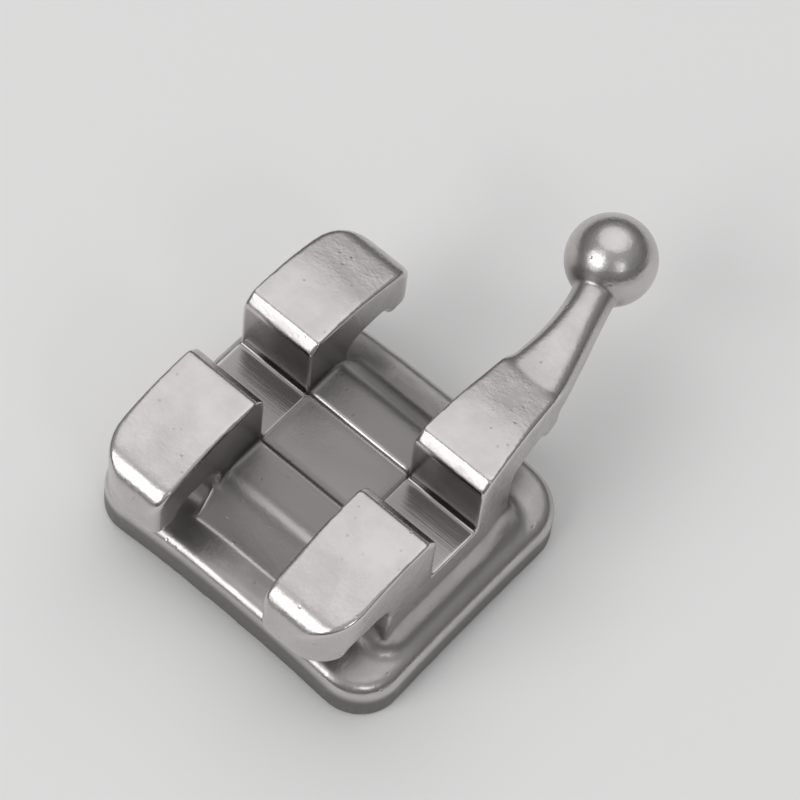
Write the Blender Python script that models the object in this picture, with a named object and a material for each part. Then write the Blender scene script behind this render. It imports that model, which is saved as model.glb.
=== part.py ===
# Twin orthodontic bracket for a lower right first premolar, moulded in one piece of stainless steel.
#
# Units are metres, +Z up.
# The origin is the centre of the bonding pad's underside.
# +X is distal, along the archwire slot.
# +Y is gingival, towards the ball hook.
# +Z is labial, away from the tooth.

from math import atan2, ceil, copysign, cos, floor, pi, radians, sin, sqrt, tan

import bmesh
import bpy
from mathutils import Vector

MM = 0.001
AXES = "xyz"

# Bonding pad, curved to the crown of the tooth
PAD_WIDTH = 3.10 * MM
PAD_HEIGHT = 2.66 * MM
PAD_THICKNESS = 0.40 * MM
PAD_CORNER_RADIUS = 0.42 * MM
PAD_EDGE_RADIUS = 0.10 * MM
TOOTH_RADIUS_ACROSS = 5.5 * MM
TOOTH_RADIUS_UP = 9.0 * MM

# Undercut grooves in the pad's underside, which leave a field of square studs
STUD_SIZE = 0.22 * MM
GROOVE_MOUTH = 0.14 * MM
GROOVE_UNDERCUT = 0.03 * MM
GROOVE_DEPTH = 0.07 * MM
RETENTION_RIM = 0.20 * MM
RETENTION_CORNER_RADIUS = 0.12 * MM

# Archwire slot
SLOT_WIDTH = 0.559 * MM
SLOT_DEPTH = 0.711 * MM
SLOT_FLOOR_HEIGHT = 0.78 * MM
SLOT_FLOOR_RADIUS = 0.04 * MM
SLOT_LEAD_IN = 0.10 * MM
SLOT_EDGE_RADIUS = 0.05 * MM

# Tie wings
WING_SPAN = 3.14 * MM
WING_WIDTH = 0.74 * MM
VALLEY_WIDTH = 1.10 * MM
WING_OUTER_CORNER_RADIUS = 0.42 * MM
WING_INNER_CORNER_RADIUS = 0.12 * MM
WING_CREST_LENGTH = 0.40 * MM
WING_FALL = 0.20 * MM
WING_CROWN_RADIUS = 1.60 * MM
WING_TIP_HEIGHT = 0.50 * MM
WING_TIP_RADIUS = 0.28 * MM
WING_LIP_LENGTH = 0.26 * MM
WING_LIP_DEPTH = 0.17 * MM
WING_LIP_RADIUS = 0.09 * MM
LIGATURE_GROOVE_RADIUS = 0.15 * MM
NECK_WALL = 0.52 * MM

# Foot that spreads from the neck onto the pad
FOOT_FLARE = 0.20 * MM
FOOT_HEIGHT = 0.24 * MM
FOOT_TUCK = 0.02 * MM

# Web across the valley, which slopes down to the pad at both ends
WEB_RISE = 0.03 * MM
WEB_RELIEF = 0.02 * MM
WEB_TOP_LENGTH = 1.36 * MM
WEB_FOOT_LENGTH = 2.24 * MM
WEB_SHOULDER_RADIUS = 0.22 * MM

# Ball hook that grows out of the disto-gingival wing
HOOK_BALL_RADIUS = 0.40 * MM
HOOK_REACH = 2.81 * MM
HOOK_BALL_OFFSET = 0.55 * MM
HOOK_BALL_HEIGHT = 1.14 * MM
HOOK_WING_TAPER = 0.18 * MM
HOOK_ROOT_DEPTH = 0.63 * MM
HOOK_ROOT_RISE = 0.11 * MM
HOOK_ROOT_WIDTH = 0.66 * MM
HOOK_ROOT_THICKNESS = 0.46 * MM
HOOK_LEAN = 0.05 * MM
HOOK_KNEE_REACH = 0.27 * MM
HOOK_KNEE_DIP = 0.04 * MM
HOOK_STALK_WIDTH = 0.38 * MM
HOOK_STALK_THICKNESS = 0.36 * MM
HOOK_NARROWED_AT = 0.8  # share of the way from the root to the ball
HOOK_ROOT_SQUARENESS = 5.0  # 2 is an oval, and more is nearer to a rectangle
HOOK_STALK_SQUARENESS = 2.0

# Fineness of the round surfaces
ARC_STEP = radians(11)
FACET_LENGTH = 0.10 * MM
FILLET_ROOM = 0.9  # share of a side that the fillets at its two ends may take
PAD_RINGS = 6
PAD_SIDE_STEPS = 6
PAD_CORNER_STEPS = 5
FOOT_RINGS = 6
STALK_RINGS = 12
STALK_SIDES = 24
BALL_SEGMENTS = 32
BALL_RINGS = 16
SHARP_EDGE = radians(32)
OVERLAP = 0.05 * MM

STEEL_COLOUR = (0.60, 0.59, 0.57, 1.0)
STEEL_ROUGHNESS = 0.22

# Sizes that follow from the ones above
WING_CREST = SLOT_FLOOR_HEIGHT + SLOT_DEPTH
WING_TIP = WING_SPAN / 2
BODY_WIDTH = VALLEY_WIDTH + 2 * WING_WIDTH
WING_CENTRE = (VALLEY_WIDTH + WING_WIDTH) / 2
NECK_LENGTH = SLOT_WIDTH + 2 * NECK_WALL
WING_TIP_TOP = WING_CREST - WING_FALL
WING_TIP_BOTTOM = WING_TIP_TOP - WING_TIP_HEIGHT
GROOVE_ROOF = WING_TIP_BOTTOM + WING_LIP_DEPTH
STUD_PITCH = STUD_SIZE + GROOVE_MOUTH
LAND_SCALE = (STUD_SIZE + GROOVE_MOUTH / 2) / PAD_HEIGHT
LAND_WIDTH = LAND_SCALE * PAD_WIDTH
LAND_HEIGHT = LAND_SCALE * PAD_HEIGHT


def clear_scene():
    for item in list(bpy.data.objects):
        bpy.data.objects.remove(item, do_unlink=True)


def steel():
    material = bpy.data.materials.new("stainless_steel")
    material.use_nodes = True
    shader = material.node_tree.nodes["Principled BSDF"]
    shader.inputs["Base Color"].default_value = STEEL_COLOUR
    shader.inputs["Metallic"].default_value = 1.0
    shader.inputs["Roughness"].default_value = STEEL_ROUGHNESS
    return material


def add_object(name, mesh_data):
    """Turn a bmesh into an object with its faces pointing out."""
    bmesh.ops.recalc_face_normals(mesh_data, faces=mesh_data.faces)
    mesh = bpy.data.meshes.new(name)
    mesh_data.to_mesh(mesh)
    mesh_data.free()
    item = bpy.data.objects.new(name, mesh)
    bpy.context.scene.collection.objects.link(item)
    return item


def make_guide(item):
    """Keep a construction solid out of the finished part."""
    item.hide_render = True
    item.display_type = "WIRE"
    return item


def combine(item, operation, guides):
    """Join solids to an object, or cut them out of it or down to them, in one Boolean."""
    modifier = item.modifiers.new(operation.lower(), "BOOLEAN")
    modifier.operation = operation
    modifier.solver = "EXACT"
    modifier.operand_type = "COLLECTION"
    modifier.collection = bpy.data.collections.new(f"{item.name}_{operation.lower()}")
    for guide in guides:
        modifier.collection.objects.link(make_guide(guide))


def fillet_shares(corners):
    """Share of its radius that each corner keeps, so that two fillets fit on the side between them."""
    points = [Vector(corner[:2]) for corner in corners]
    sides = [points[(index + 1) % len(points)] - point for index, point in enumerate(points)]
    taken = [radius * tan(sides[index - 1].angle(sides[index]) / 2) for index, (u, v, radius) in enumerate(corners)]
    shares = []
    for index, side in enumerate(sides):
        both = taken[index] + taken[(index + 1) % len(taken)]
        shares.append(min(1, FILLET_ROOM * side.length / both) if both else 1)
    return [min(shares[index - 1], share) for index, share in enumerate(shares)]


def filleted(corners):
    """Outline through corners given as (u, v, radius), with a tangent arc at each radius."""
    points = []
    shares = fillet_shares(corners)
    for index, (u, v, radius) in enumerate(corners):
        corner = Vector((u, v))
        if radius == 0:
            points.append(corner)
            continue
        radius *= shares[index]
        before = (Vector(corners[index - 1][:2]) - corner).normalized()
        after = (Vector(corners[(index + 1) % len(corners)][:2]) - corner).normalized()
        half_angle = before.angle(after) / 2
        centre = corner + (before + after).normalized() * radius / sin(half_angle)
        start = corner + before * radius / tan(half_angle) - centre
        turn = start.angle_signed(corner + after * radius / tan(half_angle) - centre)
        steps = max(ceil(abs(turn) / ARC_STEP), ceil(abs(turn) * radius / FACET_LENGTH))
        start_angle = atan2(start.y, start.x)
        for step in range(steps + 1):
            angle = start_angle - turn * step / steps
            points.append(centre + radius * Vector((cos(angle), sin(angle))))
    return points


def prism(name, outline, axis, low, high):
    """Solid between two copies of an outline, set apart along one axis."""
    mesh_data = bmesh.new()
    along = AXES.index(axis)
    u_axis, v_axis = [index for index in range(3) if index != along]
    rings = []
    for level in (low, high):
        ring = []
        for point in outline:
            place = Vector((0, 0, 0))
            place[along] = level
            place[u_axis] = point[0]
            place[v_axis] = point[1]
            ring.append(mesh_data.verts.new(place))
        rings.append(ring)
    skin_rings(mesh_data, rings)
    return add_object(name, mesh_data)


def skin_rings(mesh_data, rings):
    """Join rings of vertices into one closed solid with a flat cap at each end."""
    count = len(rings[0])
    for lower, upper in zip(rings, rings[1:]):
        for index in range(count):
            following = (index + 1) % count
            mesh_data.faces.new((lower[index], lower[following], upper[following], upper[index]))
    mesh_data.faces.new(rings[0][::-1])
    mesh_data.faces.new(rings[-1])


def loft(name, rings):
    """Closed solid through rings of points, in triangles because its quads would be warped."""
    mesh_data = bmesh.new()
    skin_rings(mesh_data, [[mesh_data.verts.new(point) for point in ring] for ring in rings])
    bmesh.ops.triangulate(mesh_data, faces=mesh_data.faces)
    return add_object(name, mesh_data)


def pad_drop(x, y):
    """Fall of the tooth-shaped pad below the flat land at its centre."""
    across = max(abs(x) - LAND_WIDTH / 2, 0)
    up = max(abs(y) - LAND_HEIGHT / 2, 0)
    fall_across = TOOTH_RADIUS_ACROSS - sqrt(TOOTH_RADIUS_ACROSS ** 2 - across ** 2)
    fall_up = TOOTH_RADIUS_UP - sqrt(TOOTH_RADIUS_UP ** 2 - up ** 2)
    return fall_across + fall_up


def rounded_rectangle(width, height, radius):
    """Rectangle with round corners and evenly divided sides, the same number of points for any size."""
    half_width = width / 2 - radius
    half_height = height / 2 - radius
    signs = ((1, 1), (-1, 1), (-1, -1), (1, -1))
    centres = [Vector((x * half_width, y * half_height)) for x, y in signs]
    points = []
    for quarter, centre in enumerate(centres):
        for step in range(PAD_CORNER_STEPS + 1):
            turn = (quarter + step / PAD_CORNER_STEPS) * pi / 2
            points.append(centre + radius * Vector((cos(turn), sin(turn))))
        corner_end = points[-1]
        side = centres[(quarter + 1) % len(centres)] - centre
        for step in range(1, PAD_SIDE_STEPS):
            points.append(corner_end + side * step / PAD_SIDE_STEPS)
    return points


def draped_ring(width, height, radius, level, share=1.0):
    """Ring at a level above the pad's underside that follows the pad's curve by the given share."""
    outline = rounded_rectangle(width, height, radius)
    return [Vector((point.x, point.y, level - share * pad_drop(point.x, point.y))) for point in outline]


def plate_ring(size, corner_radius, step, level, inset=0):
    """Ring of a curved plate, from the flat land at its centre (step 0) to its rim (step PAD_RINGS)."""
    share = step / PAD_RINGS
    width = LAND_WIDTH + (size[0] - LAND_WIDTH) * share - 2 * inset
    height = LAND_HEIGHT + (size[1] - LAND_HEIGHT) * share - 2 * inset
    return draped_ring(width, height, corner_radius * max(share, LAND_SCALE) - inset, level)


def make_pad():
    """Curved plate with a rounded rim."""
    size = (PAD_WIDTH, PAD_HEIGHT)
    rings = [plate_ring(size, PAD_CORNER_RADIUS, step, 0) for step in range(PAD_RINGS + 1)]
    rim_steps = ceil(pi / 2 / ARC_STEP)
    for step in range(rim_steps + 1):
        angle = step * pi / 2 / rim_steps
        inset = PAD_EDGE_RADIUS * (1 - cos(angle))
        level = PAD_THICKNESS - PAD_EDGE_RADIUS * (1 - sin(angle))
        rings.append(plate_ring(size, PAD_CORNER_RADIUS, PAD_RINGS, level, inset))
    for step in range(PAD_RINGS - 1, -1, -1):
        rings.append(plate_ring(size, PAD_CORNER_RADIUS, step, PAD_THICKNESS))
    return loft("bracket", rings)


def stud_places(pad_size):
    """Places of the studs across one direction, with one at the pad's centre."""
    room = pad_size / 2 - RETENTION_RIM - GROOVE_MOUTH - STUD_SIZE / 2
    per_side = floor(room / STUD_PITCH)
    return [index * STUD_PITCH for index in range(-per_side, per_side + 1)]


def make_studs(across, up):
    """Dovetail studs, wider at their outer ends than where they stand."""
    mesh_data = bmesh.new()
    for x in across:
        for y in up:
            surface = -pad_drop(x, y)
            rings = []
            for level in (-2 * OVERLAP, GROOVE_DEPTH + OVERLAP):
                half = STUD_SIZE / 2 - GROOVE_UNDERCUT * level / GROOVE_DEPTH
                corners = ((half, half), (-half, half), (-half, -half), (half, -half))
                rings.append([mesh_data.verts.new((x + u, y + v, surface + level)) for u, v in corners])
            skin_rings(mesh_data, rings)
    return add_object("studs", mesh_data)


def make_retention_grooves():
    """Space between the studs, to one depth below the pad's curved underside."""
    across = stud_places(PAD_WIDTH)
    up = stud_places(PAD_HEIGHT)
    size = [2 * places[-1] + STUD_SIZE + 2 * GROOVE_MOUTH for places in (across, up)]
    rings = [plate_ring(size, RETENTION_CORNER_RADIUS, step, -OVERLAP) for step in range(PAD_RINGS + 1)]
    for step in range(PAD_RINGS, -1, -1):
        rings.append(plate_ring(size, RETENTION_CORNER_RADIUS, step, GROOVE_DEPTH))
    grooves = loft("grooves", rings)
    combine(grooves, "DIFFERENCE", [make_studs(across, up)])
    return grooves


def make_foot():
    """Flared foot under the neck, hollowed like a fillet."""
    rings = [foot_ring(FOOT_FLARE, PAD_THICKNESS / 2, 1.0)]
    for step in range(FOOT_RINGS + 1):
        angle = step * pi / 2 / FOOT_RINGS
        spread = FOOT_FLARE * (1 - sin(angle))
        rise = FOOT_HEIGHT * (1 - cos(angle))
        rings.append(foot_ring(spread, PAD_THICKNESS + rise, 1.0 - rise / FOOT_HEIGHT))
    return loft("foot", rings)


def foot_ring(spread, level, share):
    growth = 2 * (spread - FOOT_TUCK)
    radius = WING_INNER_CORNER_RADIUS + spread
    return draped_ring(BODY_WIDTH + growth, NECK_LENGTH + growth, radius, level, share)


def wing_side_profile():
    """Side view of a wing pair: slot, crowned wings, drooping tips, ligature grooves and neck."""
    slot_half = SLOT_WIDTH / 2
    neck_half = NECK_LENGTH / 2
    lip_inner = WING_TIP - WING_LIP_LENGTH
    half = [
        (slot_half, SLOT_FLOOR_HEIGHT, SLOT_FLOOR_RADIUS),
        (slot_half, WING_CREST - SLOT_LEAD_IN, SLOT_EDGE_RADIUS),
        (slot_half + SLOT_LEAD_IN, WING_CREST, SLOT_EDGE_RADIUS),
        (slot_half + SLOT_LEAD_IN + WING_CREST_LENGTH, WING_CREST, WING_CROWN_RADIUS),
        (WING_TIP, WING_TIP_TOP, WING_TIP_RADIUS),
        (WING_TIP, WING_TIP_BOTTOM, WING_LIP_RADIUS),
        (lip_inner, WING_TIP_BOTTOM, WING_LIP_RADIUS),
        (lip_inner - WING_LIP_DEPTH / 2, GROOVE_ROOF, WING_LIP_RADIUS),
        (neck_half, GROOVE_ROOF, LIGATURE_GROOVE_RADIUS),
        (neck_half, PAD_THICKNESS / 2, 0),
    ]
    other_half = [(-u, v, radius) for u, v, radius in reversed(half)]
    return filleted(half + other_half)


def mesial_plan_outline():
    """Plan view of the two mesial wings."""
    inner = -VALLEY_WIDTH / 2
    outer = -BODY_WIDTH / 2
    return filleted([
        (inner, -WING_TIP, WING_INNER_CORNER_RADIUS),
        (outer, -WING_TIP, WING_OUTER_CORNER_RADIUS),
        (outer, WING_TIP, WING_OUTER_CORNER_RADIUS),
        (inner, WING_TIP, WING_INNER_CORNER_RADIUS),
    ])


def distal_plan_outline():
    """Plan view of the two distal wings, the gingival one narrowing towards its hook."""
    inner = VALLEY_WIDTH / 2
    outer = BODY_WIDTH / 2
    taper_start = SLOT_WIDTH / 2 + SLOT_LEAD_IN
    return filleted([
        (inner, -WING_TIP, WING_INNER_CORNER_RADIUS),
        (outer, -WING_TIP, WING_OUTER_CORNER_RADIUS),
        (outer, taper_start, WING_OUTER_CORNER_RADIUS),
        (outer - HOOK_WING_TAPER, WING_TIP, WING_INNER_CORNER_RADIUS),
        (inner, WING_TIP, WING_INNER_CORNER_RADIUS),
    ])


def make_wing_pair(name, plan_outline):
    reach = BODY_WIDTH / 2 + OVERLAP
    pair = prism(name, wing_side_profile(), "x", -reach, reach)
    plan = prism(name + "_plan", plan_outline, "z", 0, WING_CREST + OVERLAP)
    combine(pair, "INTERSECT", [plan])
    return pair


def make_web():
    """Low web that ties both wing pairs together under the slot."""
    top = SLOT_FLOOR_HEIGHT + WEB_RISE
    slot_half = SLOT_WIDTH / 2
    bottom = PAD_THICKNESS / 2
    half = [
        (slot_half + WEB_RELIEF, SLOT_FLOOR_HEIGHT - WEB_RELIEF, 0),
        (slot_half + WEB_RELIEF, top, 0),
        (WEB_TOP_LENGTH / 2, top, WEB_SHOULDER_RADIUS),
        (WEB_FOOT_LENGTH / 2, bottom, 0),
    ]
    other_half = [(-u, v, radius) for u, v, radius in reversed(half)]
    reach = VALLEY_WIDTH / 2 + OVERLAP
    return prism("web", filleted(half + other_half), "x", -reach, reach)


def hook_stalk_path(share):
    """Place and direction on the stalk's centre line, which leans mesially on its way to the ball."""
    root_x = WING_CENTRE - HOOK_LEAN
    level = WING_TIP_TOP - HOOK_ROOT_THICKNESS / 2
    root = Vector((root_x, WING_TIP - HOOK_ROOT_DEPTH, level + HOOK_ROOT_RISE))
    knee = Vector((root_x, WING_TIP + HOOK_KNEE_REACH, level - HOOK_KNEE_DIP))
    ball = Vector((HOOK_BALL_OFFSET, HOOK_REACH, HOOK_BALL_HEIGHT))
    place = root.lerp(knee, share).lerp(knee.lerp(ball, share), share)
    direction = (knee - root).lerp(ball - knee, share).normalized()
    return place, direction


def rounded(value, squareness):
    """Cosine or sine of a section, drawn out towards a rectangle's corner."""
    return copysign(abs(value) ** (2 / squareness), value)


def make_hook_stalk():
    """Stalk that leaves the wing nearly as wide and flat as the wing, and narrows to a round rod at its ball."""
    rings = []
    for step in range(STALK_RINGS + 1):
        share = step / STALK_RINGS
        place, direction = hook_stalk_path(share)
        sideways = direction.cross(Vector((0, 0, 1))).normalized()
        upright = sideways.cross(direction)
        narrowing = (1 - cos(pi * min(1, share / HOOK_NARROWED_AT))) / 2
        width = HOOK_ROOT_WIDTH + (HOOK_STALK_WIDTH - HOOK_ROOT_WIDTH) * narrowing
        thickness = HOOK_ROOT_THICKNESS + (HOOK_STALK_THICKNESS - HOOK_ROOT_THICKNESS) * narrowing
        squareness = HOOK_ROOT_SQUARENESS + (HOOK_STALK_SQUARENESS - HOOK_ROOT_SQUARENESS) * narrowing
        ring = []
        for side in range(STALK_SIDES):
            angle = 2 * pi * side / STALK_SIDES
            across = sideways * rounded(cos(angle), squareness) * width / 2
            ring.append(place + across + upright * rounded(sin(angle), squareness) * thickness / 2)
        rings.append(ring)
    return loft("hook_stalk", rings)


def make_hook_ball():
    mesh_data = bmesh.new()
    bmesh.ops.create_uvsphere(
        mesh_data, u_segments=BALL_SEGMENTS, v_segments=BALL_RINGS, radius=HOOK_BALL_RADIUS)
    bmesh.ops.translate(mesh_data, verts=mesh_data.verts, vec=(HOOK_BALL_OFFSET, HOOK_REACH, HOOK_BALL_HEIGHT))
    return add_object("hook_ball", mesh_data)


def finish(item, material):
    item.data.materials.append(material)
    item.data.shade_smooth()
    item.data.set_sharp_from_angle(angle=SHARP_EDGE)


clear_scene()
bracket = make_pad()
combine(bracket, "UNION", [
    make_foot(),
    make_web(),
    make_wing_pair("mesial_wings", mesial_plan_outline()),
    make_wing_pair("distal_wings", distal_plan_outline()),
    make_hook_stalk(),
    make_hook_ball(),
])
combine(bracket, "DIFFERENCE", [make_retention_grooves()])
finish(bracket, steel())
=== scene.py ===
from math import cos, pi, radians, sin

import bmesh
import bpy
import numpy as np
from mathutils import Matrix, Vector
from mathutils.bvhtree import BVHTree
from mathutils.kdtree import KDTree


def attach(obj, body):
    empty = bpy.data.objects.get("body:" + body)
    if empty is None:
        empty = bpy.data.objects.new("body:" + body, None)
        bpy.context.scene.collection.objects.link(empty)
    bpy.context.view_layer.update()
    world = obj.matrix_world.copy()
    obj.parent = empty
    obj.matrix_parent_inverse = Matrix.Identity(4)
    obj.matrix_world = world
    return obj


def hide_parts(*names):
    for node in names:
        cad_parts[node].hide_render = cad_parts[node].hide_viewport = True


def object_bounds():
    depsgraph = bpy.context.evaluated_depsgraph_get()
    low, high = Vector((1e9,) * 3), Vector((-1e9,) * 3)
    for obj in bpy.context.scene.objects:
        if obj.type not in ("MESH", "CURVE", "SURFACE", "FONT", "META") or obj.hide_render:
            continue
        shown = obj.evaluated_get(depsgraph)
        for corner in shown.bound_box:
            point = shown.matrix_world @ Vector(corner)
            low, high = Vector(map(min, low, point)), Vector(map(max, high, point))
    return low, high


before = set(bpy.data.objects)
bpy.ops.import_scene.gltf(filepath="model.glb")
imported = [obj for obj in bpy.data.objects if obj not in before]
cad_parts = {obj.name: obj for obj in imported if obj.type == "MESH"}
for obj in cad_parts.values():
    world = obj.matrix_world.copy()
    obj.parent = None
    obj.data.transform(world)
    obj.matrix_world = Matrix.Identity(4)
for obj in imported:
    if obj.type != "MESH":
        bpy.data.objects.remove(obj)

mm = 0.001
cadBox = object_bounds()
print("frame loaded, box in mm:", [[round(v / mm, 3) for v in corner] for corner in cadBox])


# mesh helpers

def linked(name, data):
    item = bpy.data.objects.new(name, data)
    bpy.context.scene.collection.objects.link(item)
    return item


def bakeModifiers(piece):
    graph = bpy.context.evaluated_depsgraph_get()
    mesh = bpy.data.meshes.new_from_object(piece.evaluated_get(graph))
    piece.modifiers.clear()
    piece.data = mesh


def readArray(items, key, width, kind=np.float64):
    values = np.zeros(len(items) * width, kind)
    items.foreach_get(key, values)
    return values.reshape(-1, width) if width > 1 else values


def neighbourMean(values, edges):
    # average over the points at the other ends of each point's edges
    count = len(values)
    ends = np.concatenate([edges[:, 0], edges[:, 1]])
    others = np.concatenate([edges[:, 1], edges[:, 0]])
    share = np.maximum(np.bincount(ends, minlength=count), 1)
    columns = values.reshape(count, -1).T
    sums = [np.bincount(ends, weights=column[others], minlength=count) / share for column in columns]
    return np.array(sums).T.reshape(values.shape)


def relaxed(values, edges, strength, passes):
    for step in range(passes):
        values = values + strength * (neighbourMean(values, edges) - values)
    return values


def ramp(values, low, high):
    share = np.clip((values - low) / (high - low), 0, 1)
    return share * share * (3 - 2 * share)


def storeMask(mesh, name, values):
    attribute = mesh.attributes.new(name, "FLOAT", "POINT")
    attribute.data.foreach_set("value", values.astype(np.float32))


# node helpers

def fillInputs(tree, node, inputs):
    for key, value in inputs.items():
        if isinstance(value, bpy.types.NodeSocket):
            tree.links.new(value, node.inputs[key])
        else:
            node.inputs[key].default_value = value


def addNode(tree, kind, settings=None, inputs=None):
    node = tree.nodes.new(kind)
    for key, value in (settings or {}).items():
        setattr(node, key, value)
    fillInputs(tree, node, inputs or {})
    return node


def calc(tree, operation, first, second):
    return addNode(tree, "ShaderNodeMath", {"operation": operation}, {0: first, 1: second}).outputs[0]


def blendValue(tree, share, low, high):
    return addNode(tree, "ShaderNodeMix", {"data_type": "FLOAT"}, {0: share, 2: low, 3: high}).outputs[0]


def blendColour(tree, share, low, high):
    return addNode(tree, "ShaderNodeMix", {"data_type": "RGBA"}, {0: share, 6: low, 7: high}).outputs[2]


def remap(tree, value, low, high, toLow=0.0, toHigh=1.0):
    inputs = {"Value": value, "From Min": low, "From Max": high, "To Min": toLow, "To Max": toHigh}
    return addNode(tree, "ShaderNodeMapRange", {"clamp": True}, inputs).outputs[0]


def newGroup(name, inputs, outputs):
    tree = bpy.data.node_groups.new(name, "ShaderNodeTree")
    for label, kind, value in inputs:
        socket = tree.interface.new_socket(label, in_out="INPUT", socket_type=kind)
        if value is not None:
            socket.default_value = value
    for label, kind in outputs:
        tree.interface.new_socket(label, in_out="OUTPUT", socket_type=kind)
    return tree, tree.nodes.new("NodeGroupInput").outputs, tree.nodes.new("NodeGroupOutput")


def placeGroup(tree, group, inputs):
    node = tree.nodes.new("ShaderNodeGroup")
    node.node_tree = group
    fillInputs(tree, node, inputs)
    return node.outputs


# shared finishes

grainSettings = {
    "cloudRatio": 0.12,        # grain size over the size of the soft clouds
    "waviness": 2.5,           # height of the slow waves of a tumbled surface, beside the grain
    "pitWall": (0.34, 0.12),   # distances from a pit's middle where its wall starts and ends
    "mottle": (0.32, 0.68),    # part of the clouds' values that the mottling spans
}


def mouldedGrainGroup(settings):
    # soft mottling of a sintered surface with small pits in it
    tree, given, out = newGroup(
        "mouldedGrain",
        [("Place", "NodeSocketVector", None), ("Grain Size", "NodeSocketFloat", 0.03),
         ("Pit Size", "NodeSocketFloat", 0.05), ("Pit Share", "NodeSocketFloat", 0.2)],
        [("Height", "NodeSocketFloat"), ("Mottle", "NodeSocketFloat"), ("Pits", "NodeSocketFloat")])
    grain = addNode(tree, "ShaderNodeTexNoise", {"noise_dimensions": "3D"}, {
        "Vector": given["Place"], "Scale": calc(tree, "DIVIDE", 1.0, given["Grain Size"]),
        "Detail": 4.0, "Roughness": 0.6})
    clouds = addNode(tree, "ShaderNodeTexNoise", {"noise_dimensions": "3D"}, {
        "Vector": given["Place"], "Scale": calc(tree, "DIVIDE", settings["cloudRatio"], given["Grain Size"]),
        "Detail": 3.0, "Roughness": 0.55})
    cells = addNode(tree, "ShaderNodeTexVoronoi", {"feature": "F1"}, {
        "Vector": given["Place"], "Scale": calc(tree, "DIVIDE", 1.0, given["Pit Size"]), "Randomness": 1.0})
    draw = addNode(tree, "ShaderNodeSeparateColor", {}, {0: cells.outputs["Color"]}).outputs[0]
    chosen = calc(tree, "LESS_THAN", draw, given["Pit Share"])
    pits = calc(tree, "MULTIPLY", remap(tree, cells.outputs["Distance"], *settings["pitWall"]), chosen)
    waves = calc(tree, "MULTIPLY", clouds.outputs[0], settings["waviness"])
    height = calc(tree, "SUBTRACT", calc(tree, "ADD", grain.outputs[0], waves), pits)
    tree.links.new(height, out.inputs["Height"])
    tree.links.new(remap(tree, clouds.outputs[0], *settings["mottle"]), out.inputs["Mottle"])
    tree.links.new(pits, out.inputs["Pits"])
    return tree


def fineLinesGroup():
    # tool marks that run along X
    tree, given, out = newGroup(
        "fineLines",
        [("Place", "NodeSocketVector", None), ("Line Spacing", "NodeSocketFloat", 0.02),
         ("Length Ratio", "NodeSocketFloat", 0.03)],
        [("Height", "NodeSocketFloat")])
    stretch = addNode(tree, "ShaderNodeCombineXYZ", {}, {
        "X": given["Length Ratio"], "Y": 1.0, "Z": 1.0})
    place = addNode(tree, "ShaderNodeVectorMath", {"operation": "MULTIPLY"}, {
        0: given["Place"], 1: stretch.outputs[0]})
    lines = addNode(tree, "ShaderNodeTexNoise", {"noise_dimensions": "3D"}, {
        "Vector": place.outputs[0], "Scale": calc(tree, "DIVIDE", 1.0, given["Line Spacing"]),
        "Detail": 3.0, "Roughness": 0.7})
    tree.links.new(lines.outputs[0], out.inputs["Height"])
    return tree


finishes = {"grain": mouldedGrainGroup(grainSettings), "lines": fineLinesGroup()}
print("shared finishes ready")


# bracket, with its lengths in mm

bracketSettings = {
    "voxel": 0.010,            # between the points of the mesh
    "weld": 0.0001,
    "triangles": 190000,
    "softness": 0.5,           # share of the way to its neighbours that a point or value moves in a pass
    "rounding": 30,            # smoothing passes on moulded edges
    "slotRounding": 0.35,      # share of it on the machined slot
    "slotWidth": 0.559,
    "slotFloor": 0.78,
    "radiusAcross": 5.5,       # curve of the pad
    "radiusUp": 9.0,
    "padSize": (3.10, 2.66),
    "padThickness": 0.40,
    "padCorner": 0.42,         # radius
    "padCornerSteps": 5,       # facets of each corner of the solid
    "padCornerFade": (0.4, 0.8),      # shares of that radius between which the arc takes over
    "padSide": (0.04, 0.10, 0.24, 0.30),      # over the back: evening starts, is full, fades, ends
    "padSideReach": 0.9,       # share of the corner's radius where the side starts
    "padSideFade": 0.2,        # share of it next to the flat sides where the evening fades
    "bodyHalf": 1.29,
    "taper": (0.38, 0.151),    # where the hook's wing starts to narrow, and its slope
    "footHeight": (0.25, 0.455),      # where the foot starts to lean with that wall, and is flush with it
    "footTop": 0.7,
    "rootEnd": 1.7,            # y, beyond which the stalk is clear of that wall
    "curvaturePasses": 8,      # smoothing passes of the masks
    "slotPasses": 2,
    "shelterPasses": 6,
    "edgeCurvature": (3.0, 14.0),     # 1/mm, where an edge starts to shine and shines fully
    "hollowCurvature": (2.0, 10.0),
    "etchedHeight": (0.27, 0.38),     # over the back, where the matt etched finish and the painted shade on the pad's sides start to fade and end
    "shelterRays": 24,
    "shelterTurn": 2.39996,    # angle from each ray to the next
    "shelterEvery": 19,        # points, one of which is measured
    "shelterNear": 4,          # measured points that each of the others takes its value from
    "shelterReach": 1.2,
}

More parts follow.
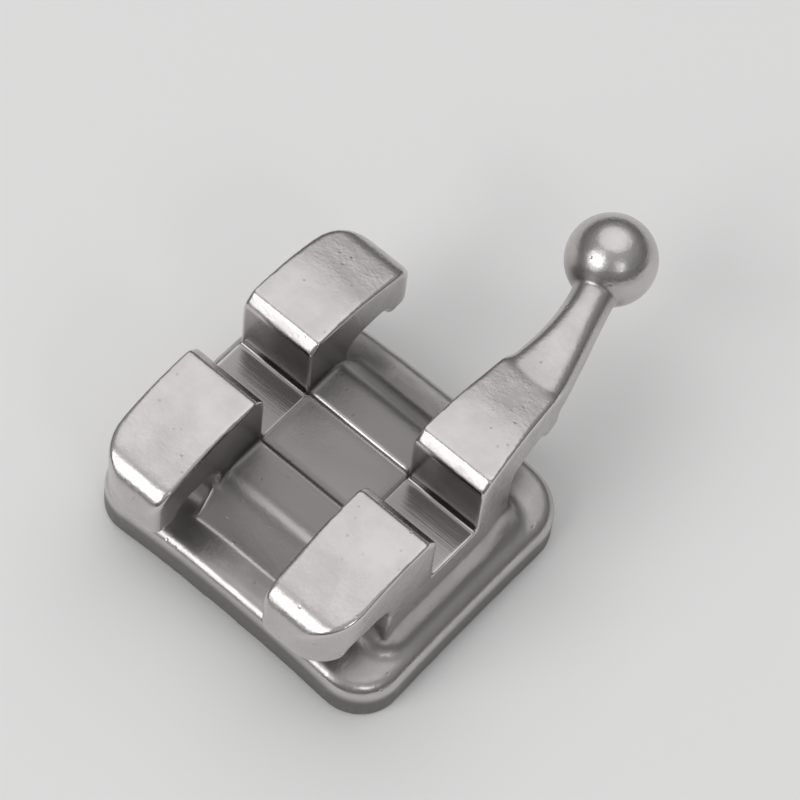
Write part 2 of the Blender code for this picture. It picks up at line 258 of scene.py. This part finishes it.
steelSettings = {
    "polished": (0.65, 0.626, 0.616, 1.0),
    "moulded": (0.53, 0.51, 0.50, 1.0),
    # painted shade tone for creases, pits and recesses where the bracket hides the sky
    "shaded": (0.24, 0.231, 0.225, 1.0),
    # matt etched back, and painted shade on the lower band of the pad's sides
    "etchedAndSideShade": (0.22, 0.216, 0.212, 1.0),
    "shelter": (0.06, 0.44),          # shares of the sky hidden, where the painted shade and the rougher finish start and are full
    "mottlePolish": 0.45,             # share of the polished colour on the lightest mottling
    "pitShade": 0.3,                  # share of the shaded colour in a pit
    "hollowShade": 0.75,
    "wearStart": 0.55,                # wear of an edge where the mottling is darkest
    "wearFull": 0.7,                  # mottling at which the edge is worn fully
    "backWear": 0.25,                 # share of the wear on the matt back
    "wornGrain": 0.35,                # share of the grain left on a worn edge
    "grainSize": 0.032,               # mm, as are the next sizes
    "pitSize": 0.05,
    "lineSpacing": 0.03,
    "grainDepth": 0.0018,
    "pitShare": 0.05,                 # share of the cells that hold a pit
    "roughness": 0.27,
    "roughnessSwing": 0.05,           # more on the darkest mottling, and less on the lightest
    "edgeRoughness": 0.15,
    "slotRoughness": 0.2,
    "hollowRoughness": 0.42,
    "etchedRoughness": 0.55,
}


def steelMaterial(settings):
    material = bpy.data.materials.new("mouldedSteel")
    material.use_nodes = True
    tree = material.node_tree
    shader = tree.nodes["Principled BSDF"]
    shader.inputs["Metallic"].default_value = 1.0
    objectPlace = addNode(tree, "ShaderNodeTexCoord").outputs["Object"]
    place = addNode(tree, "ShaderNodeVectorMath", {"operation": "SCALE"}, {
        0: objectPlace, "Scale": 1 / mm}).outputs[0]
    masks = {}
    for name in ("edge", "hollow", "slot", "back", "sheltered"):
        masks[name] = addNode(tree, "ShaderNodeAttribute", {"attribute_name": name}).outputs["Fac"]

    grain = placeGroup(tree, finishes["grain"], {
        "Place": place, "Grain Size": settings["grainSize"], "Pit Size": settings["pitSize"],
        "Pit Share": settings["pitShare"]})
    lines = placeGroup(tree, finishes["lines"], {"Place": place, "Line Spacing": settings["lineSpacing"]})

    patchy = remap(tree, grain["Mottle"], 0.0, settings["wearFull"], settings["wearStart"], 1.0)
    worn = calc(tree, "MULTIPLY", masks["edge"], patchy)
    worn = calc(tree, "MULTIPLY", worn, remap(tree, masks["back"], 0.0, 1.0, 1.0, settings["backWear"]))
    hollow = calc(tree, "MULTIPLY", masks["hollow"], settings["hollowShade"])
    # painted shade: creases and recesses where the bracket hides the sky turn to the shaded tone, and also
    # get rougher
    dullAndShade = calc(tree, "MAXIMUM", hollow, remap(tree, masks["sheltered"], *settings["shelter"]))

    lightness = calc(tree, "MULTIPLY", grain["Mottle"], settings["mottlePolish"])
    colour = blendColour(tree, lightness, settings["moulded"], settings["polished"])
    pits = calc(tree, "MULTIPLY", grain["Pits"], settings["pitShade"])
    colour = blendColour(tree, pits, colour, settings["shaded"])
    colour = blendColour(tree, dullAndShade, colour, settings["shaded"])
    # the matt etched back, whose band up the pad's sides is painted shade
    colour = blendColour(tree, masks["back"], colour, settings["etchedAndSideShade"])
    colour = blendColour(tree, worn, colour, settings["polished"])
    tree.links.new(colour, shader.inputs["Base Color"])

    middle, swing = settings["roughness"], settings["roughnessSwing"]
    rough = remap(tree, grain["Mottle"], 0.0, 1.0, middle + swing, middle - swing)
    rough = blendValue(tree, dullAndShade, rough, settings["hollowRoughness"])
    rough = blendValue(tree, masks["slot"], rough, settings["slotRoughness"])
    rough = blendValue(tree, masks["back"], rough, settings["etchedRoughness"])
    rough = blendValue(tree, worn, rough, settings["edgeRoughness"])
    tree.links.new(rough, shader.inputs["Roughness"])

    height = blendValue(tree, masks["slot"], grain["Height"], lines["Height"])
    height = calc(tree, "MULTIPLY", height, remap(tree, worn, 0.0, 1.0, 1.0, settings["wornGrain"]))
    bump = addNode(tree, "ShaderNodeBump", {}, {
        "Height": height, "Strength": 1.0, "Distance": settings["grainDepth"] * mm})
    tree.links.new(bump.outputs[0], shader.inputs["Normal"])
    return material


def skyRays(count, turnEach):
    # directions spread evenly over half a ball
    rays = []
    for index in range(count):
        turn = index * turnEach
        height = (index + 0.5) / count
        width = (1 - height ** 2) ** 0.5
        rays.append(Vector((cos(turn) * width, sin(turn) * width, height)))
    return rays


def shelterOf(mesh, points, normals, settings):
    # share of the directions off the surface that meet the bracket itself; where it is high the material
    # paints shade into the colour, and makes the finish rougher as no tumbling stone gets there
    surface = BVHTree.FromPolygons([v.co for v in mesh.vertices], [p.vertices for p in mesh.polygons])
    rays = skyRays(settings["shelterRays"], settings["shelterTurn"])
    reach = settings["shelterReach"]
    chosen = range(0, len(points), settings["shelterEvery"])
    places = KDTree(len(chosen))
    found = []
    for number, index in enumerate(chosen):
        origin = Vector(points[index])
        normal = Vector(normals[index])
        places.insert(origin, number)
        turn = normal.to_track_quat("Z", "Y")
        start = origin + normal * settings["voxel"]
        hits = sum(1 for ray in rays if surface.ray_cast(start, turn @ ray, reach)[0] is not None)
        found.append(hits / len(rays))
    places.balance()
    result = np.zeros(len(points))
    for index, point in enumerate(points):
        near = places.find_n(point, settings["shelterNear"])
        weights = [1 / (distance + settings["voxel"]) for place, number, distance in near]
        result[index] = sum(w * found[item[1]] for w, item in zip(weights, near)) / sum(weights)
    return result


def heightOverBack(points, settings):
    drop = points[:, 0] ** 2 / (2 * settings["radiusAcross"]) + points[:, 1] ** 2 / (2 * settings["radiusUp"])
    return points[:, 2] + drop


def beyondCorner(points, settings):
    # how far each point lies out from the middle of the pad corner's arc, along x and y
    return np.abs(points[:, :2]) - (np.array(settings["padSize"]) / 2 - settings["padCorner"])


def movedOut(points, beyond, growth):
    shift = np.sign(points[:, :2]) * beyond * growth[:, None]
    return points + np.column_stack([shift, np.zeros(len(points))])


def roundPadCorners(points, settings):
    # the solid's corners have a few flat facets, and the points on them move out to a true arc
    beyond = beyondCorner(points, settings)
    inCorner = (beyond > 0).all(axis=1) & (heightOverBack(points, settings) < settings["padThickness"])
    step = pi / 2 / settings["padCornerSteps"]
    offMiddle = np.arctan2(beyond[:, 1], beyond[:, 0]) % step - step / 2
    share = np.linalg.norm(beyond, axis=1) / settings["padCorner"]
    growth = (np.cos(offMiddle) / cos(step / 2) - 1) * ramp(share, *settings["padCornerFade"])
    return movedOut(points, beyond, growth * inCorner)


def evenPadSides(points, settings):
    # clears the last ripples off the upright sides of the corners
    radius = settings["padCorner"]
    low, full, fading, high = settings["padSide"]
    height = heightOverBack(points, settings)
    beyond = beyondCorner(points, settings)
    reach = np.linalg.norm(beyond, axis=1)
    onSide = (beyond > 0).all(axis=1) & (reach > settings["padSideReach"] * radius)
    weight = onSide * ramp(beyond.min(axis=1) / radius, 0, settings["padSideFade"])
    weight = weight * ramp(height, low, full) * (1 - ramp(height, fading, high))
    growth = (radius / np.maximum(reach, settings["voxel"]) - 1) * weight
    return movedOut(points, beyond, growth)


def followWall(points, settings):
    # the foot and the stalk's root keep flush with the wall of the hook's wing where that one narrows
    x, y, z = points.T
    start, slope = settings["taper"]
    narrowing = slope * np.maximum(y - start, 0)
    wall = settings["bodyHalf"] - narrowing
    leaning = np.maximum(x - narrowing * ramp(z, *settings["footHeight"]), wall)
    onFoot = (x > wall) & (z > settings["footHeight"][0]) & (z < settings["footTop"])
    onRoot = (x > wall) & (z > settings["footTop"]) & (y < settings["rootEnd"])
    fitted = np.where(onFoot, leaning, np.where(onRoot, wall, x))
    return np.column_stack([fitted, y, z])


def makeBracket(settings):
    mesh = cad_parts["bracket"].data.copy()
    mesh.transform(Matrix.Scale(1 / mm, 4))      # worked in mm
    welded = bmesh.new()
    welded.from_mesh(mesh)
    bmesh.ops.remove_doubles(welded, verts=welded.verts, dist=settings["weld"])
    welded.to_mesh(mesh)
    welded.free()
    mesh.materials.clear()
    piece = linked("mouldedBracket", mesh)
    skin = piece.modifiers.new("skin", "REMESH")
    skin.mode = "VOXEL"
    skin.voxel_size = settings["voxel"]
    skin.use_smooth_shade = True
    bakeModifiers(piece)
    mesh = piece.data
    print("bracket skin:", len(mesh.polygons), "faces")

    edges = readArray(mesh.edges, "vertices", 2, np.int32)
    points = roundPadCorners(readArray(mesh.vertices, "co", 3), settings)
    points = followWall(points, settings)
    inSlot = (
        (np.abs(points[:, 1]) < settings["slotWidth"] / 2 + settings["voxel"])
        & (points[:, 2] > settings["slotFloor"] - settings["voxel"])).astype(float)
    softness = settings["softness"]
    strength = softness * (1 - inSlot * (1 - settings["slotRounding"]))
    points = relaxed(points, edges, strength[:, None], settings["rounding"])
    points = evenPadSides(points, settings)
    mesh.vertices.foreach_set("co", points.ravel())
    mesh.update()

    normals = readArray(mesh.vertices, "normal", 3)
    bulge = -np.sum((neighbourMean(points, edges) - points) * normals, axis=1)
    curvature = 4 * bulge / settings["voxel"] ** 2      # both ways added, from four neighbours on a grid
    curvature = relaxed(curvature, edges, softness, settings["curvaturePasses"])
    sheltered = shelterOf(mesh, points, normals, settings)
    storeMask(mesh, "edge", ramp(curvature, *settings["edgeCurvature"]))
    storeMask(mesh, "hollow", ramp(-curvature, *settings["hollowCurvature"]))
    storeMask(mesh, "slot", relaxed(inSlot, edges, softness, settings["slotPasses"]))
    storeMask(mesh, "back", 1 - ramp(heightOverBack(points, settings), *settings["etchedHeight"]))
    storeMask(mesh, "sheltered", relaxed(sheltered, edges, softness, settings["shelterPasses"]))
    print("bracket masks ready")

    # the thinned mesh keeps the shading of the fine one
    fineSkin = linked("fineSkin", mesh.copy())
    thin = piece.modifiers.new("thinned", "DECIMATE")
    thin.ratio = settings["triangles"] / (2 * len(mesh.polygons))
    shading = piece.modifiers.new("shading", "DATA_TRANSFER")
    shading.object = fineSkin
    shading.use_loop_data = True
    shading.data_types_loops = {"CUSTOM_NORMAL"}
    shading.loop_mapping = "POLYINTERP_NEAREST"
    bakeModifiers(piece)
    bpy.data.objects.remove(fineSkin, do_unlink=True)
    mesh = piece.data
    print("bracket mesh:", len(mesh.polygons), "faces")
    mesh.transform(Matrix.Scale(mm, 4))
    mesh.materials.append(steelMaterial(steelSettings))
    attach(piece, "root")
    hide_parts("bracket")


makeBracket(bracketSettings)
print("bracket ready")


# floor, light and camera

floorSettings = {
    "radius": 0.6, "segments": 96, "colour": (0.90, 0.893, 0.885, 1.0), "roughness": 0.8, "shine": 0.2}


def makeFloor(settings):
    disc = bmesh.new()
    bmesh.ops.create_circle(disc, cap_ends=True, radius=settings["radius"], segments=settings["segments"])
    mesh = bpy.data.meshes.new("floor")
    disc.to_mesh(mesh)
    disc.free()
    floor = linked("floor", mesh)
    floor.location.z = cadBox[0].z
    material = bpy.data.materials.new("paleFloor")
    material.use_nodes = True
    shader = material.node_tree.nodes["Principled BSDF"]
    shader.inputs["Base Color"].default_value = settings["colour"]
    shader.inputs["Roughness"].default_value = settings["roughness"]
    shader.inputs["Specular IOR Level"].default_value = settings["shine"]
    mesh.materials.append(material)


worldSettings = {"high": (0.50, 0.50, 0.505, 1.0), "low": (0.07, 0.07, 0.072, 1.0), "highFrom": 0.9}


def makeWorld(settings):
    world = bpy.data.worlds.new("studio")
    world.use_nodes = True
    tree = world.node_tree
    direction = addNode(tree, "ShaderNodeTexCoord").outputs["Generated"]
    height = addNode(tree, "ShaderNodeSeparateXYZ", {}, {0: direction}).outputs["Z"]
    share = remap(tree, height, 0.0, settings["highFrom"])
    colour = blendColour(tree, share, settings["low"], settings["high"])
    tree.links.new(colour, tree.nodes["Background"].inputs["Color"])
    bpy.context.scene.world = world


# azimuth 0 is the -Y side and 90 the +X side, as for the camera
lampSettings = {
    "overhead": {"azimuth": 214, "elevation": 66, "distance": 0.20, "size": 0.28, "level": 0.66},
    "front": {"azimuth": -17, "elevation": 37, "distance": 0.20, "size": 0.14, "level": 2.7},
    "side": {"azimuth": 65, "elevation": 40, "distance": 0.20, "size": 0.05, "level": 3.0},
}


def compass(azimuth, elevation):
    turn, rise = radians(azimuth), radians(elevation)
    return Vector((sin(turn) * cos(rise), -cos(turn) * cos(rise), sin(rise)))


def makeLamps(lamps, target):
    for name, settings in lamps.items():
        light = bpy.data.lights.new(name, "AREA")
        light.shape = "DISK"
        light.size = settings["size"]
        # level is the lamp's own brightness
        light.energy = settings["level"] * pi ** 2 * settings["size"] ** 2 / 4
        lamp = linked(name, light)
        away = compass(settings["azimuth"], settings["elevation"])
        lamp.location = target + away * settings["distance"]
        lamp.rotation_euler = away.to_track_quat("Z", "Y").to_euler()
        lamp.visible_camera = False


cameraSettings = {
    "azimuth": 34, "elevation": 61, "roll": 8.3, "lens": 180,
    "width": 0.0066,           # m, seen at the bracket
    "clip": (0.001, 2.0),
}


def makeCamera(settings, target):
    data = bpy.data.cameras.new("camera")
    data.lens = settings["lens"]
    data.clip_start, data.clip_end = settings["clip"]
    camera = linked("camera", data)
    away = compass(settings["azimuth"], settings["elevation"])
    distance = settings["width"] * settings["lens"] / data.sensor_width
    level = away.to_track_quat("Z", "Y").to_matrix()
    camera.rotation_euler = (Matrix.Rotation(radians(settings["roll"]), 3, away) @ level).to_euler()
    camera.location = target + away * distance
    bpy.context.scene.camera = camera


centre = (cadBox[0] + cadBox[1]) / 2
makeFloor(floorSettings)
makeWorld(worldSettings)
makeLamps(lampSettings, centre)
makeCamera(cameraSettings, centre)
bpy.context.scene.view_settings.view_transform = "Standard"
print("studio ready")
